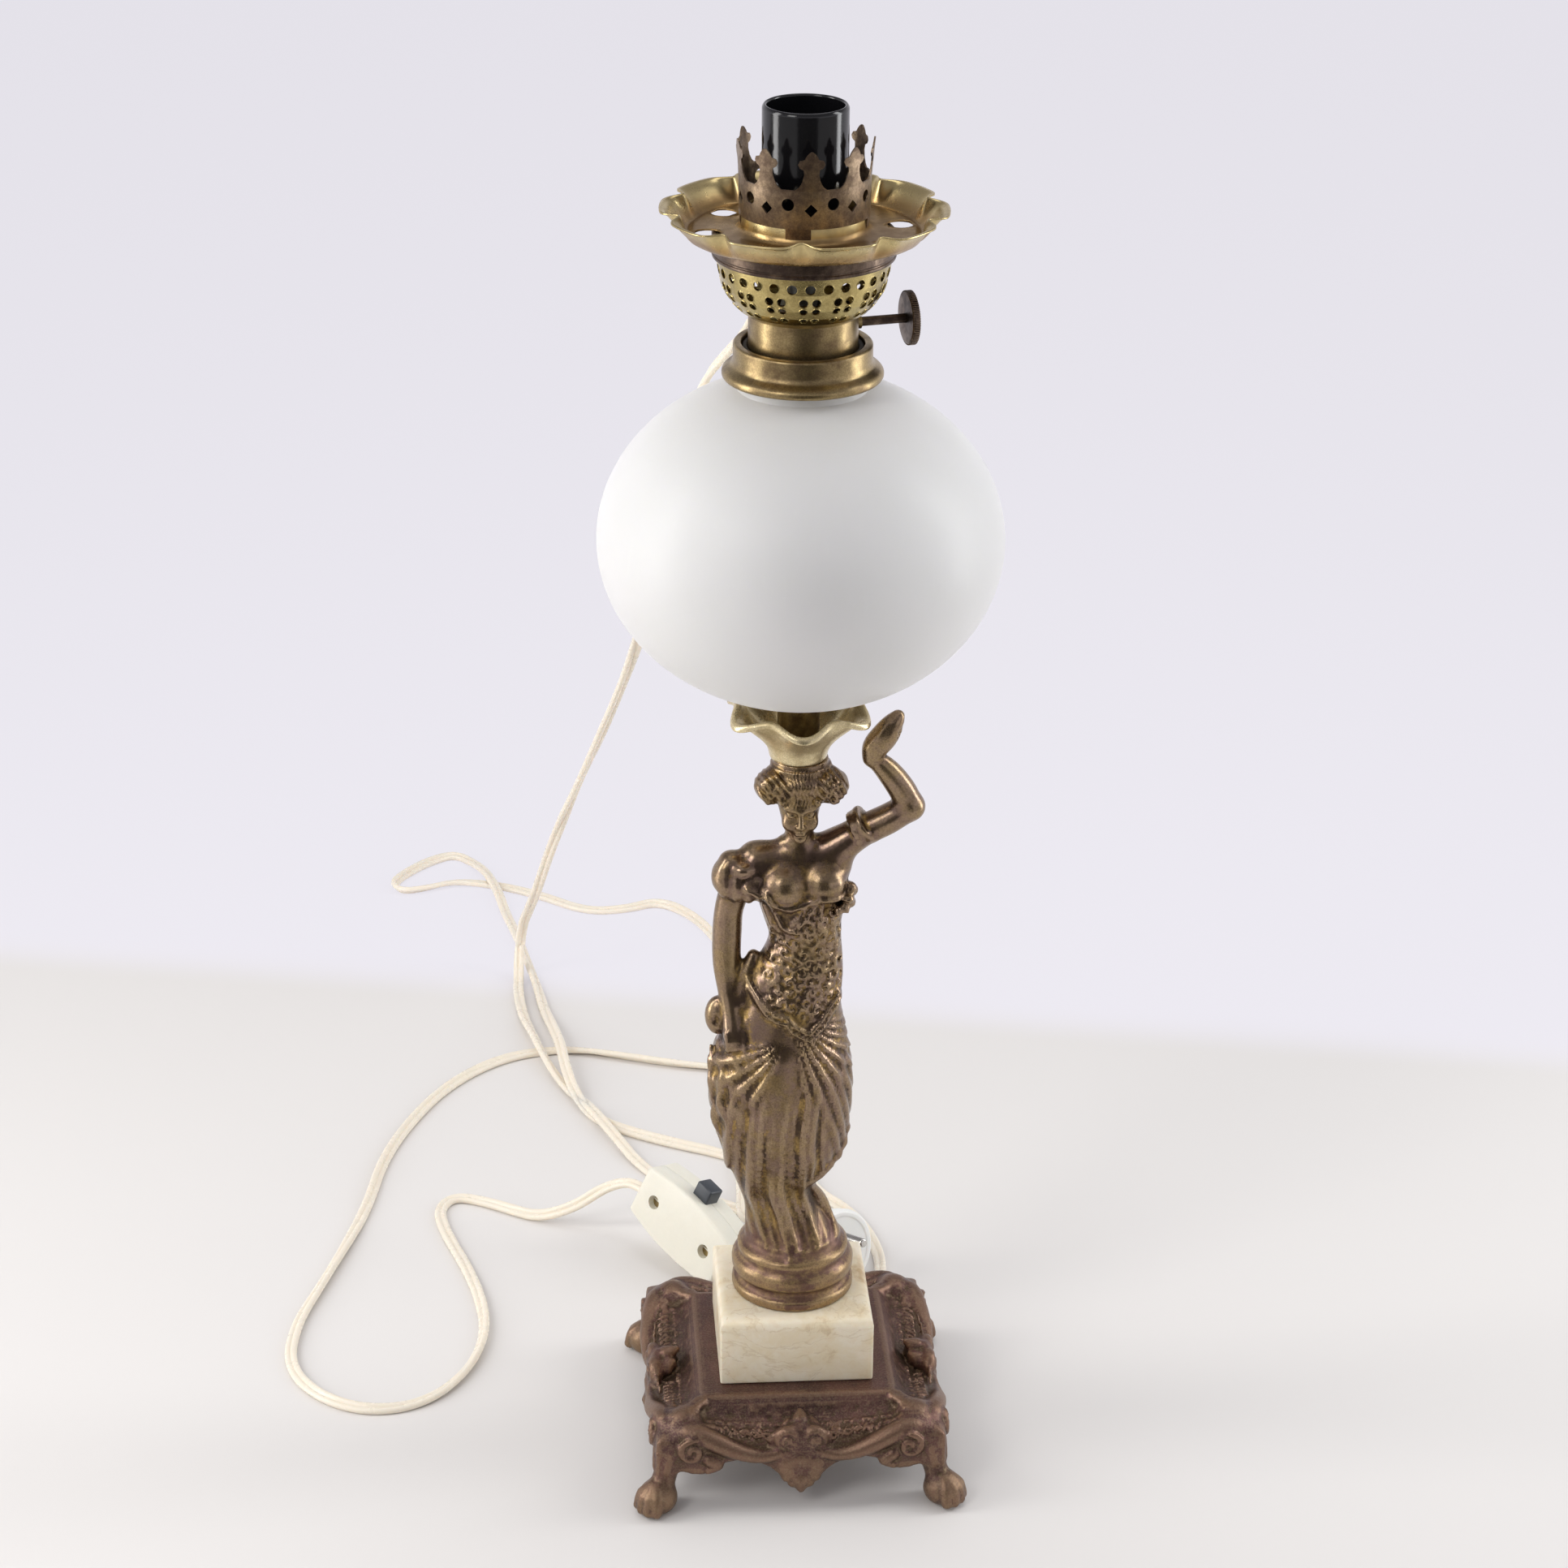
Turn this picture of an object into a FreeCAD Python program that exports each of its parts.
import FreeCAD, Part
import math
import os

# Figural table lamp: an oil lamp of cast metal, marble and glass that was fitted for an E14 bulb.
# All sizes are millimetres. +Z is up, the lamp's axis is the Z axis and its front faces -Y.

V = FreeCAD.Vector
AXIS_X, AXIS_Y, AXIS_Z = V(1, 0, 0), V(0, 1, 0), V(0, 0, 1)

# ---------------------------------------------------------------- fits
SLIDE_GAP = 0.25          # running clearance of moving pieces
SEAT_GAP = 0.1            # clearance round a rod in its hole
RUN_GAP = 0.06            # radial clearance of the winder's shaft
SHEET = 0.8               # brass sheet of the burner
THIN_SHEET = 0.6          # pressed sheet of tray and crown

# ---------------------------------------------------------------- cast base
BASE_TOP = 40.0           # platform height
PLATFORM_HALF = 39.0      # half width of the platform
APRON_HALF = 58.0         # half width at the apron
BASE_WALL = 3.5
PLATFORM_THICK = 6.0
APRON_LOW = 9.0           # lowest point of the centre pendant
PENDANT_HALF = 8.0
ARCH_RADIUS = 16.0        # side arches of the apron
ARCH_X = 24.5
ARCH_Z = 6.0
FOOT_OUT = 57.3           # paw centre, from the axis in X and in Y
FOOT_RADIUS = 8.0
FOOT_HEIGHT = 11.0
TOE_RADIUS = 3.3
KNEE_OUT = 47.5
KNEE_Z = 30.0
KNEE_RADIUS = 8.0
SCROLL_RADIUS = 5.5
SCROLL_X = 42.0
SCROLL_Z = 26.0
RELIEF_DEPTH = 2.0
PALMETTE_Z = 17.0
PALMETTE_LOBES = 5

# ---------------------------------------------------------------- stud through base, marble and figure
STUD_DIAMETER = 8.0
STUD_GRIP = 26.0          # length screwed into the figure
WASHER_DIAMETER = 30.0
WASHER_THICK = 2.0
NUT_FLATS = 13.0
NUT_HEIGHT = 6.5

# ---------------------------------------------------------------- marble block
MARBLE_SIDE = 61.0
MARBLE_HEIGHT = 28.6
MARBLE_ROUND = 5.0

# ---------------------------------------------------------------- figure
FIGURE_FOOT = BASE_TOP + MARBLE_HEIGHT
DRUM_RADIUS = 24.2
DRUM_HEIGHT = 16.5
PLINTH_RADIUS = 22.2
PLINTH_HEIGHT = 3.0
HEAD_TOP = 300.6          # seat of the tulip cup
HEAD_CENTRE = V(0.8, -3.0, 280.0)
HEAD_RADII = V(9.0, 10.5, 13.5)
HAIR_CENTRE = V(1.0, 0.0, 291.0)
HAIR_RADII = V(14.5, 13.5, 8.5)
CURL_RADIUS = 8.0
CURL_OUT = 9.3            # side rolls of hair, from the hair's centre
CAP_RADIUS = 12.0         # flat seat on the hair

# ---------------------------------------------------------------- tulip cup
CUP_FOOT_RADIUS = 10.8
CUP_RIM_RADIUS = 24.6
CUP_RIM_Z = 321.5
CUP_WALL = 1.2
CUP_LOBES = 6
PETAL_HALF = 11.5
CUP_FLOOR = 2.0
SEAT_RADIUS = 8.0

# ---------------------------------------------------------------- glass globe
GLOBE_Z = 388.5
GLOBE_RADIUS = 75.0
GLOBE_HALF_HEIGHT = 61.8
GLASS_WALL = 3.0
GLASS_NECK_RADIUS = 24.0
GLASS_NECK_TOP = 449.8
GLASS_FOOT_RADIUS = 12.0
GASKET_THICK = 1.2

# ---------------------------------------------------------------- tie tube
TUBE_DIAMETER = 10.0
TUBE_BORE = 7.0
TUBE_GRIP = 16.0          # length screwed into the head

# ---------------------------------------------------------------- collar and burner
FLANGE_RADIUS = 29.3
FLANGE_HEIGHT = 4.8
COLLAR_RADIUS = 25.25
COLLAR_TOP = 464.0
COLLAR_WALL = 3.0
NECK_RADIUS = 19.8
NECK_TOP = 475.0
NECK_DEPTH = 11.0         # below the collar's top
BASKET_TOP = 496.6
BASKET_RADIUS = 31.5
BASKET_FOOT_RADIUS = 20.4
BIG_HOLES = 30
BIG_HOLE = 3.6
SMALL_PAIRS = 15
SMALL_HALF_ANGLE = 4.4
BAND_RADIUS = 32.9
BAND_HEIGHT = 8.6

# ---------------------------------------------------------------- tray and crown
TRAY_FLOOR = 505.6
TRAY_NECK_RADIUS = 22.2
TRAY_NECK_HEIGHT = 7.0
TRAY_FLAT_RADIUS = 39.8
TRAY_LIP_RADIUS = 51.0
TRAY_LIP_Z = 513.0
PINCHES = 10              # V-shaped pinches of the lip
PINCH_TURN = -5.5
PINCH_DEPTH = 5.0
PINCH_HALF = 3.2
TRAY_HOLES = 8
TRAY_HOLE = 9.5
TRAY_HOLE_CIRCLE = 34.8
TRAY_HOLE_TURN = 7.0
CROWN_RADIUS = 23.3
CROWN_FLARE = 1.4
CROWN_LOW = 511.7
CROWN_VALLEY = 525.4
CROWN_TOP = 539.5
CROWN_POINTS = 9
CROWN_TURN = 1.0
CROWN_ROUND_HOLE = 4.4
CROWN_DIAMOND = 2.3
CROWN_ROUND_DROP = 5.0    # below the valleys
CROWN_DIAMOND_DROP = 6.9
TAB_COUNT = 4
TAB_TURN = -10.0
TAB_WIDTH = 9.0

# ---------------------------------------------------------------- E14 lamp holder
HOLDER_TOP = 550.4
SLEEVE_DIAMETER = 30.8
SLEEVE_WALL = 1.75
CORE_RADIUS = 12.6
CORE_HEIGHT = 30.0
SHELL_BORE = 14.1         # root of the thread of an E14 socket
THREAD_DEPTH = 0.8
THREAD_PITCH = 2.82
SHELL_WALL = 0.4
SHELL_DEPTH = 23.0
CONTACT_WIDTH = 5.0
HOLDER_FOOT_HEIGHT = 5.0
TUBE_NUT_FLATS = 14.0
TUBE_NUT_HEIGHT = 3.0

# ---------------------------------------------------------------- wick winder
WINDER_Z = 469.6
WINDER_BEARING = 12.0     # degrees from +X towards +Y
SHAFT_DIAMETER = 3.4
SHAFT_INNER = 8.0         # inner end, beside the tie tube
SHAFT_OUTER = 41.4
KNOB_DIAMETER = 20.0
KNOB_THICK = 3.0
KNOB_TEETH = 36
WHEEL_DIAMETER = 7.6
WHEEL_THICK = 2.0
WHEEL_TEETH = 8
BUSH_DIAMETER = 5.0
BUSH_OUT = 1.6

# ---------------------------------------------------------------- flex, switch and plug
CORD_DIAMETER = 5.4
GROMMET_DIAMETER = 6.8
GROMMET_FACE = 22.0       # outer face, from the axis
EXIT_BEARING = 121.5      # degrees from +X, seen from above
CORD_EXIT_Z = 467.6

SWITCH_LENGTH = 54.8
SWITCH_END_WIDTH = 23.4
SWITCH_MID_WIDTH = 30.0
SWITCH_THICK = 18.0
SWITCH_WALL = 1.8
SWITCH_SCREW_PITCH = 34.0
SWITCH_SCREW = 3.0
SWITCH_SCREW_HEAD = 5.6
SCREW_RECESS = 3.0
SWITCH_FACE = V(-41.0, 116.2, 23.6)
SWITCH_TURN = (-51.3, 17.2, -15.6)
ENTRY_DROP = 5.0          # the flex enters below the middle of the ends
BUTTON_LENGTH = 9.0
BUTTON_WIDTH = 8.0
BUTTON_PROUD = 8.0
BUTTON_TRAVEL = 2.0

PLUG_DIAMETER = 37.0
PLUG_TAIL_RADIUS = 6.2
PLUG_BODY_LENGTH = 33.0
PLUG_FACE = V(29.0, 100.0, 18.7)
PLUG_AIM = V(0.598, -0.777, 0.197)
PIN_DIAMETER = 4.0
PIN_LENGTH = 19.0
PIN_SPACING = 19.0
PIN_TURN = 12.0           # turn of the pins' line from upright
PIN_ROOT_DIAMETER = 4.8
PIN_ROOT_PROUD = 0.3
PIN_ROOT_DEPTH = 8.0
RELIEF_LENGTH = 22.0
RELIEF_RADIUS = 3.6

FLOOR_Z = CORD_DIAMETER / 2


def to_bearing(shape):
    """Turns a shape made along +X to the winder's bearing."""
    shape.rotate(V(0, 0, 0), V(0, 0, 1), WINDER_BEARING)
    return shape


def on_floor(x, y, layer=0.0):
    """A flex point that lies on the floor, or on that many other lengths of flex."""
    return V(x, y, FLOOR_Z + layer * (CORD_DIAMETER + 0.2))


# ---------------------------------------------------------------- helpers
def cylinder(radius, height, z, x=0.0, y=0.0):
    return Part.makeCylinder(radius, height, V(x, y, z))


def ring(outer, inner, height, z):
    return cylinder(outer, height, z).cut(cylinder(inner, height + 2, z - 1))


def face_of(points):
    return Part.Face(Part.makePolygon(points + [points[0]]))


def turned(profile):
    """A solid turned about the Z axis from (radius, height) corners."""
    return face_of([V(r, 0, z) for r, z in profile]).revolve(V(0, 0, 0), AXIS_Z, 360)


def fused(solids):
    whole = solids[0].multiFuse(solids[1:]) if len(solids) > 1 else solids[0]
    return whole.removeSplitter()


def ellipsoid(centre, radii):
    ball = Part.makeSphere(1.0)
    matrix = FreeCAD.Matrix()
    matrix.scale(radii.x, radii.y, radii.z)
    ball = ball.transformGeometry(matrix)
    ball.translate(centre)
    return ball


def limb(start, end, radius_start, radius_end):
    """A tapering rod with a ball at each end."""
    along = end - start
    cone = Part.makeCone(radius_start, radius_end, along.Length, start, along)
    return [Part.makeSphere(radius_start, start), cone, Part.makeSphere(radius_end, end)]


def hexagon_nut(flats, height, bore, z):
    corner = flats / math.sqrt(3)
    corners = [V(corner * math.cos(math.radians(a)), corner * math.sin(math.radians(a)), z)
               for a in range(0, 360, 60)]
    return face_of(corners).extrude(V(0, 0, height)).cut(cylinder(bore / 2, height + 2, z - 1))


def wavy_wire(radius, wave, lobes, z, count=48):
    """A level, smooth closed wire round the Z axis, with lobes; one lobe faces the front."""
    points = []
    for i in range(count):
        angle = 2 * math.pi * i / count
        reach = radius + wave * math.cos(lobes * angle)
        points.append(V(reach * math.sin(angle), -reach * math.cos(angle), z))
    curve = Part.BSplineCurve()
    curve.interpolate(points, PeriodicFlag=True)
    return Part.Wire(curve.toShape())


def oval_wire(x, y, z, half_x, half_y):
    oval = Part.Ellipse(V(x + half_x, y, z), V(x, y + half_y, z), V(x, y, z)) if half_x >= half_y \
        else Part.Ellipse(V(x, y + half_y, z), V(x - half_x, y, z), V(x, y, z))
    return Part.Wire(oval.toShape())


def turned_copies(shape, count, first=0.0):
    copies = []
    for i in range(count):
        copy = shape.copy()
        copy.rotate(V(0, 0, 0), AXIS_Z, first + 360.0 * i / count)
        copies.append(copy)
    return copies


def bar_at(radius, angle, z, size, length, tilt=0.0):
    """A round cutter that points away from the axis; angle 0 is the front."""
    turn = math.radians(angle)
    rise = math.radians(tilt)
    out = V(math.sin(turn) * math.cos(rise), -math.cos(turn) * math.cos(rise), math.sin(rise))
    place = V(radius * math.sin(turn), -radius * math.cos(turn), z)
    return Part.makeCylinder(size / 2, length, place - out * (length / 2), out)


# ---------------------------------------------------------------- base
def square_stack(rows):
    """Straight-sided solid through squares, given as (half side, height) rows."""
    blocks = []
    for (low_half, low_z), (high_half, high_z) in zip(rows, rows[1:]):
        wires = []
        for half, z in ((low_half, low_z), (high_half, high_z)):
            corners = [V(-half, -half, z), V(half, -half, z), V(half, half, z), V(-half, half, z)]
            wires.append(Part.makePolygon(corners + corners[:1]))
        blocks.append(Part.makeLoft(wires, True, True))
    return fused(blocks)


def base_hood():
    """Platform, slope and apron; hollow below, with arches between the feet."""
    outer = square_stack([(APRON_HALF, APRON_LOW), (APRON_HALF, BASE_TOP - 13.0),
                          (APRON_HALF - 4.5, BASE_TOP - 10.0), (PLATFORM_HALF + 6.5, BASE_TOP - 8.0),
                          (PLATFORM_HALF + 2.5, BASE_TOP - 3.5), (PLATFORM_HALF, BASE_TOP)])
    room = APRON_HALF - BASE_WALL
    hood = outer.cut(square_stack([(room, -1), (room, BASE_TOP - 15.5),
                                   (PLATFORM_HALF - 2, BASE_TOP - PLATFORM_THICK)]))
    reach = APRON_HALF + 2
    cutters = []
    for side in (-1, 1):
        for along in (AXIS_X, AXIS_Y):
            start = (AXIS_Y if along is AXIS_X else AXIS_X) * (side * ARCH_X)
            arch = Part.makeCylinder(ARCH_RADIUS, 2 * reach, start - along * reach + V(0, 0, ARCH_Z), along)
            cutters.append(arch)
    beside = Part.makeBox(reach - ARCH_X, reach - ARCH_X, ARCH_Z + 6, V(ARCH_X, -reach, 0))
    return hood.cut(Part.makeCompound(cutters + turned_copies(beside, 4)))


def base_relief():
    """Volutes and palmette on one apron."""
    face_y = -APRON_HALF - RELIEF_DEPTH
    pieces = []
    for side in (-1, 1):
        for x, z, radius in ((SCROLL_X, SCROLL_Z, SCROLL_RADIUS), (6.0, BASE_TOP - 13.5, 4.5)):
            pieces.append(Part.makeCylinder(radius, RELIEF_DEPTH + 1, V(side * x, face_y, z), AXIS_Y))
            pieces.append(Part.makeCylinder(radius * 0.45, RELIEF_DEPTH + 2, V(side * x, face_y - 1, z), AXIS_Y))
    for i in range(PALMETTE_LOBES):
        spread = (i - (PALMETTE_LOBES - 1) / 2) * 32.0
        lobe = ellipsoid(V(0, 0, -4.5), V(1.9, RELIEF_DEPTH, 5.0))
        lobe.rotate(V(0, 0, 0), AXIS_Y, spread)
        lobe.translate(V(0, -APRON_HALF, PALMETTE_Z))
        pieces.append(lobe)
    return pieces


def base_leg():
    """A scroll leg with a paw, on the front right diagonal."""
    knee = V(KNEE_OUT, -KNEE_OUT, KNEE_Z)
    shin = V(KNEE_OUT + 6.0, -KNEE_OUT - 6.0, KNEE_Z - 12)
    ankle = V(FOOT_OUT - 2.0, -FOOT_OUT + 2.0, FOOT_HEIGHT)
    paw = V(FOOT_OUT, -FOOT_OUT, FOOT_HEIGHT / 2)
    pieces = limb(knee, shin, KNEE_RADIUS, KNEE_RADIUS - 1.5)
    pieces += limb(shin, ankle, KNEE_RADIUS - 1.5, FOOT_RADIUS - 2.6)
    pieces.append(ellipsoid(paw, V(FOOT_RADIUS, FOOT_RADIUS, FOOT_HEIGHT / 2 + 1)))
    for turn in (-36, -12, 12, 36):
        way = math.radians(-45 + turn)
        toe = paw + V(math.cos(way), math.sin(way), 0) * (FOOT_RADIUS - 1.2)
        pieces.append(Part.makeSphere(TOE_RADIUS, V(toe.x, toe.y, TOE_RADIUS - 0.4)))
    return pieces


def cast_base():
    legs = turned_copies(fused(base_leg()), 4)
    relief = [copy for piece in base_relief() for copy in turned_copies(piece, 4)]
    body = fused([base_hood()] + relief + legs)
    room = APRON_HALF - BASE_WALL
    ground = Part.makeBox(400, 400, 20, V(-200, -200, -20))
    inside = Part.makeBox(2 * room - 14, 2 * room - 14, BASE_TOP - 18, V(-room + 7, -room + 7, -1))
    body = body.cut(ground).cut(inside)
    return body.cut(cylinder(STUD_DIAMETER / 2 + SEAT_GAP, BASE_TOP + 2, 0))


BASE_UNDER = BASE_TOP - PLATFORM_THICK


def base_washer():
    return ring(WASHER_DIAMETER / 2, STUD_DIAMETER / 2 + SEAT_GAP, WASHER_THICK, BASE_UNDER - WASHER_THICK)


def base_nut():
    return hexagon_nut(NUT_FLATS, NUT_HEIGHT, STUD_DIAMETER + 2 * SEAT_GAP,
                       BASE_UNDER - WASHER_THICK - NUT_HEIGHT)


def base_stud():
    low = BASE_UNDER - WASHER_THICK - NUT_HEIGHT - 2
    return cylinder(STUD_DIAMETER / 2, FIGURE_FOOT + STUD_GRIP - low, low)


def marble_block():
    half = MARBLE_SIDE / 2
    block = Part.makeBox(MARBLE_SIDE, MARBLE_SIDE, MARBLE_HEIGHT, V(-half, -half, BASE_TOP))
    edges = [e for e in block.Edges if e.BoundBox.ZMax > BASE_TOP + 1]
    block = block.makeFillet(MARBLE_ROUND, edges)
    return block.cut(cylinder(STUD_DIAMETER / 2 + SEAT_GAP, MARBLE_HEIGHT + 2, BASE_TOP - 1))


# ---------------------------------------------------------------- figure
def drum():
    foot = FIGURE_FOOT
    profile = [(0, foot), (DRUM_RADIUS, foot), (DRUM_RADIUS, foot + 4.5), (DRUM_RADIUS - 1.8, foot + 6.0),
               (DRUM_RADIUS - 1.8, foot + 8.5), (DRUM_RADIUS, foot + 10.0), (DRUM_RADIUS, foot + 14.0),
               (PLINTH_RADIUS, foot + DRUM_HEIGHT), (PLINTH_RADIUS, foot + DRUM_HEIGHT + PLINTH_HEIGHT),
               (PLINTH_RADIUS - 4, foot + DRUM_HEIGHT + PLINTH_HEIGHT + 2.5),
               (0, foot + DRUM_HEIGHT + PLINTH_HEIGHT + 2.5)]
    return turned(profile)


def draped_body():
    """Skirt, hips, waist and bust: height above the drum's foot, centre and half widths."""
    sections = [(16.0, -3.0, 0.0, 17.5, 15.5), (27.0, -5.0, 0.0, 14.6, 13.5), (37.0, -5.5, 0.0, 14.2, 13.0),
                (45.0, -5.0, 0.0, 18.0, 14.5), (54.0, -3.8, 0.0, 22.0, 17.0), (74.0, -5.5, 0.0, 27.0, 20.0),
                (96.0, -5.5, 0.5, 28.0, 20.5), (114.0, -5.2, 0.5, 26.0, 20.0), (130.0, -1.0, 0.5, 21.0, 17.0),
                (146.0, 3.4, 0.5, 15.6, 13.5), (157.0, 4.4, 0.5, 14.1, 12.5), (168.0, 3.4, -0.8, 16.4, 14.0),
                (178.0, 2.6, -1.5, 18.4, 14.5), (187.0, 0.5, 0.0, 18.0, 11.0), (194.0, 0.6, 0.5, 12.0, 8.5)]
    wires = [oval_wire(x, y, FIGURE_FOOT + z, a, b) for z, x, y, a, b in sections]
    return Part.makeLoft(wires, True, False)


def head_and_hair():
    pieces = [ellipsoid(HEAD_CENTRE, HEAD_RADII), ellipsoid(HAIR_CENTRE, HAIR_RADII)]
    for side in (-1, 1):
        pieces.append(Part.makeSphere(CURL_RADIUS, HAIR_CENTRE + V(side * CURL_OUT, -4.0, -1.5)))
    neck_low = HEAD_CENTRE.z - 24.0
    pieces.append(Part.makeCone(7.5, 5.6, 18.0, V(0.8, 0.5, neck_low)))
    pieces.append(cylinder(CAP_RADIUS, HEAD_TOP - HAIR_CENTRE.z, HAIR_CENTRE.z))
    return pieces


def raised_arm():
    shoulder, elbow = V(14.0, 0.5, 261.0), V(44.5, -4.0, 278.0)
    wrist, palm, tips = V(26.5, -7.0, 304.0), V(29.5, -7.5, 309.0), V(37.5, -8.5, 318.0)
    pieces = limb(shoulder, elbow, 7.0, 6.0)
    pieces += limb(elbow, wrist, 5.6, 3.6)
    pieces += limb(palm, tips, 3.8, 2.4)
    pieces += limb(wrist, palm, 3.4, 3.6)
    band = Part.makeCylinder(7.9, 5.0, shoulder + (elbow - shoulder) * 0.42, elbow - shoulder)
    return pieces + [band]


def hanging_arm():
    shoulder, elbow = V(-21.0, 0.5, 257.0), V(-28.0, 2.0, 222.0)
    wrist, hand = V(-26.0, -4.0, 202.0), V(-24.5, -8.0, 188.0)
    pieces = limb(shoulder, elbow, 6.5, 5.2)
    pieces += limb(elbow, wrist, 5.0, 4.0)
    pieces += limb(wrist, hand, 4.0, 5.0)
    pieces.append(ellipsoid(V(-24.5, 0.0, 251.5), V(8.0, 8.5, 8.5)))
    pieces.append(Part.makeSphere(7.0, V(-29.0, -1.0, 196.0)))
    pieces.append(ellipsoid(V(-4.0, 0.0, 257.0), V(22.0, 9.0, 6.5)))
    return pieces


def bare_leg():
    hip, knee, foot = V(-6.0, -8.0, 184.0), V(-9.5, -17.0, 147.0), V(-2.5, -10.0, 96.0)
    pieces = limb(hip, knee, 10.0, 8.0)
    pieces += limb(knee, foot, 7.2, 4.6)
    pieces += limb(foot, V(-2.0, -17.5, 91.5), 4.4, 3.0)
    return pieces


def figure():
    breasts = [Part.makeSphere(7.2, V(x, -9.0, 246.0)) for x in (-6.0, 10.5)]
    body = fused([drum(), draped_body()] + head_and_hair() + raised_arm() + hanging_arm()
                 + bare_leg() + breasts)
    top_trim = Part.makeBox(60, 60, 30, V(-30, -30, HEAD_TOP)).common(cylinder(20.0, 30, HEAD_TOP))
    body = body.cut(top_trim)
    body = body.cut(cylinder(STUD_DIAMETER / 2 + SEAT_GAP, STUD_GRIP + 1, FIGURE_FOOT))
    return body.cut(cylinder(TUBE_DIAMETER / 2 + SEAT_GAP, TUBE_GRIP + 1, HEAD_TOP - TUBE_GRIP))


# ---------------------------------------------------------------- cup, glass and tie tube
def cup_skin(inset):
    """Solid inside the cup's outer face, or inside its inner face when inset is the wall."""
    rows = [(0.0, CUP_FOOT_RADIUS, 0.0), (0.2, CUP_FOOT_RADIUS + 1.0, 0.0), (0.5, CUP_FOOT_RADIUS + 5.0, 0.4),
            (0.8, CUP_RIM_RADIUS - 3.4, 0.9), (1.0, CUP_RIM_RADIUS - 0.6, 1.4)]
    span = CUP_RIM_Z - HEAD_TOP
    wires = []
    for share, radius, wave in rows:
        wires.append(wavy_wire(radius - inset, wave, CUP_LOBES, HEAD_TOP + span * share))
    return Part.makeLoft(wires, True, False)


def cup_petals():
    """The rim's lobes, rolled outward and down."""
    r, z = CUP_RIM_RADIUS, CUP_RIM_Z
    roll = turned([(r - 2.6, z - 1.6), (r - 1.6, z - 0.2), (r + 0.8, z + 0.2), (r + 2.8, z - 1.2),
                   (r + 3.6, z - 4.0), (r + 3.2, z - 6.6), (r + 2.4, z - 6.4), (r + 2.4, z - 4.0),
                   (r + 1.8, z - 2.2), (r + 0.2, z - 1.2), (r - 1.2, z - 2.2)])
    petal = cylinder(PETAL_HALF, 20, z - 12, 0, -r + 5.0)
    return roll.common(Part.makeCompound(turned_copies(petal, CUP_LOBES))).Solids


def tulip_cup():
    floor_z = HEAD_TOP + CUP_FLOOR
    room = cup_skin(CUP_WALL).cut(Part.makeBox(100, 100, 100, V(-50, -50, floor_z - 100)))
    cup = fused([cup_skin(0.0).cut(room)] + cup_petals())
    return cup.cut(cylinder(TUBE_DIAMETER / 2 + SEAT_GAP, 60, HEAD_TOP - 5))


def globe_seat():
    """Spacer on the tie tube that carries the globe's foot inside the cup."""
    bore = TUBE_DIAMETER / 2 + SEAT_GAP
    low = HEAD_TOP + CUP_FLOOR
    return turned([(bore, low), (SEAT_RADIUS, low), (SEAT_RADIUS, GASKET_Z - 4.0),
                   (GLASS_FOOT_RADIUS - 0.5, GASKET_Z - 2.0), (GLASS_FOOT_RADIUS - 0.5, GASKET_Z), (bore, GASKET_Z)])


def ellipse_height(radius, half_width, half_height):
    return half_height * math.sqrt(1 - (radius / half_width) ** 2)


GLASS_FOOT_Z = GLOBE_Z - ellipse_height(GLASS_FOOT_RADIUS, GLOBE_RADIUS, GLOBE_HALF_HEIGHT)
GASKET_Z = GLASS_FOOT_Z - GASKET_THICK


def globe_solid(half_width, half_height, foot_radius, neck_radius, foot_z, neck_z):
    """A turned globe with a flat foot and a short neck."""
    oval = Part.Ellipse(V(half_width, 0, GLOBE_Z), V(0, 0, GLOBE_Z + half_height), V(0, 0, GLOBE_Z))
    low = -math.acos(foot_radius / half_width)
    high = math.acos(neck_radius / half_width)
    arc = Part.ArcOfEllipse(oval, low, high)
    start, end = arc.StartPoint, arc.EndPoint
    outline = [V(0, 0, foot_z), V(foot_radius, 0, foot_z), start]
    if (outline[1] - start).Length < 1e-6:
        outline = outline[:1] + [start]
    closing = [end, V(neck_radius, 0, neck_z), V(0, 0, neck_z), V(0, 0, foot_z)]
    edges = [Part.LineSegment(a, b).toShape() for a, b in zip(outline, outline[1:])]
    edges.append(arc.toShape())
    edges += [Part.LineSegment(a, b).toShape() for a, b in zip(closing, closing[1:])]
    return Part.Face(Part.Wire(edges)).revolve(V(0, 0, 0), AXIS_Z, 360)


def glass_globe():
    outside = globe_solid(GLOBE_RADIUS, GLOBE_HALF_HEIGHT, GLASS_FOOT_RADIUS, GLASS_NECK_RADIUS,
                          GLASS_FOOT_Z, GLASS_NECK_TOP)
    inside = globe_solid(GLOBE_RADIUS - GLASS_WALL, GLOBE_HALF_HEIGHT - GLASS_WALL, GLASS_FOOT_RADIUS,
                         GLASS_NECK_RADIUS - GLASS_WALL, GLASS_FOOT_Z + GLASS_WALL, GLASS_NECK_TOP + 1)
    glass = outside.cut(inside)
    return glass.cut(cylinder(TUBE_DIAMETER / 2 + SEAT_GAP, 20, GLASS_FOOT_Z - 5))


def lower_gasket():
    return ring(GLASS_FOOT_RADIUS - 0.5, TUBE_DIAMETER / 2 + SEAT_GAP, GASKET_THICK, GASKET_Z)


def upper_gasket():
    return ring(GLASS_NECK_RADIUS, GLASS_NECK_RADIUS - GLASS_WALL, GASKET_THICK, GLASS_NECK_TOP)


COLLAR_LOW = GLASS_NECK_TOP + GASKET_THICK


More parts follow.
